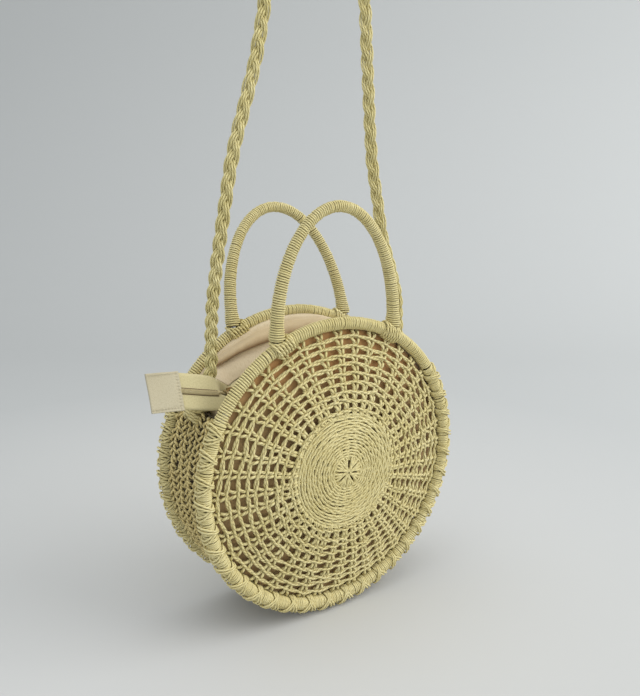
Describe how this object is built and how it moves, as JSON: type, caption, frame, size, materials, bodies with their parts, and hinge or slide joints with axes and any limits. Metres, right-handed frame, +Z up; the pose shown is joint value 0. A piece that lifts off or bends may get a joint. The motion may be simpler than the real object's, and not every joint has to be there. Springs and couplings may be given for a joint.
{
  "type": "round straw shoulder bag",
  "caption": "Round woven straw bag with a domed mesh face on each side, a lined zip mouth, tilting arched handles and a long braided shoulder strap.",
  "frame": {"origin": "underside of the shoulder strap at the top of its loop, in the middle of the bag's width and depth, where whatever carries the bag holds it", "axes": "+Z up, along the hanging bag's height. +X along the bag's width, towards the right end of the mouth seen from the front. The front face looks towards -Y"},
  "size_m": [0.2814, 0.1215, 0.7842],
  "materials": {
    "straw_cord": "matte twisted straw cord",
    "straw_braid": "matte plaited straw cord",
    "lining_cotton": "matte woven cotton",
    "tab_cotton": "matte woven cotton, stitched",
    "zip_tape": "matte woven tape",
    "zip_coil": "moulded coil",
    "slider_metal": "satin",
    "hoop_steel": "drawn wire"
  },
  "bodies": {
    "strap": {"strap_braid": "straw_braid"},
    "bag": {"front_hoop_wire": "hoop_steel", "back_hoop_wire": "hoop_steel", "front_rim_wrap_top": "straw_cord", "back_rim_wrap_top": "straw_cord", "front_rim_wrap_lower": "straw_cord", "back_rim_wrap_lower": "straw_cord", "front_panel_centre": "straw_cord", "back_panel_centre": "straw_cord", "front_panel_mesh": "straw_cord", "back_panel_mesh": "straw_cord", "gusset_band": "straw_cord", "front_left_foot_lashing": "straw_cord", "front_right_foot_lashing": "straw_cord", "back_left_foot_lashing": "straw_cord", "back_right_foot_lashing": "straw_cord", "lining_front": "lining_cotton", "lining_back": "lining_cotton", "lining_gusset": "lining_cotton", "mouth_flap_front": "lining_cotton", "mouth_flap_back": "lining_cotton", "zip_tape_front": "zip_tape", "zip_tape_back": "zip_tape", "zip_coil_front": "zip_coil", "zip_coil_back": "zip_coil", "zip_coil_tail": "zip_coil", "zip_end_stop": "slider_metal", "zip_end_tab": "tab_cotton", "strap_end_left": "straw_braid", "strap_end_right": "straw_braid", "strap_knot_left": "straw_cord", "strap_knot_right": "straw_cord"},
    "front_handle": {"front_handle_wrap": "straw_cord", "front_handle_core": "hoop_steel"},
    "back_handle": {"back_handle_wrap": "straw_cord", "back_handle_core": "hoop_steel"},
    "slider": {"zip_slider": "slider_metal"},
    "puller": {"zip_puller": "slider_metal"}
  },
  "joints": [
    {"name": "bag_swing", "type": "hinge", "parent": "strap", "child": "bag", "pos_m": [0, 0, -0.5317], "axis": [1, 0, 0], "range_deg": [-75, 75]},
    {"name": "front_handle_tilt", "type": "hinge", "parent": "bag", "child": "front_handle", "pos_m": [0, -0.036, -0.52575], "axis": [1, 0, 0], "range_deg": [-17, 60]},
    {"name": "back_handle_tilt", "type": "hinge", "parent": "bag", "child": "back_handle", "pos_m": [0, 0.036, -0.52575], "axis": [-1, 0, 0], "range_deg": [-33, 44]},
    {"name": "zip_run", "type": "slide", "parent": "bag", "child": "slider", "axis": [1, 0, 0], "range_m": [0, 0.163]},
    {"name": "puller_lift", "type": "hinge", "parent": "slider", "child": "puller", "pos_m": [-0.084, -0.01, -0.5703], "axis": [0, -1, 0], "range_deg": [0, 110]}
  ]
}
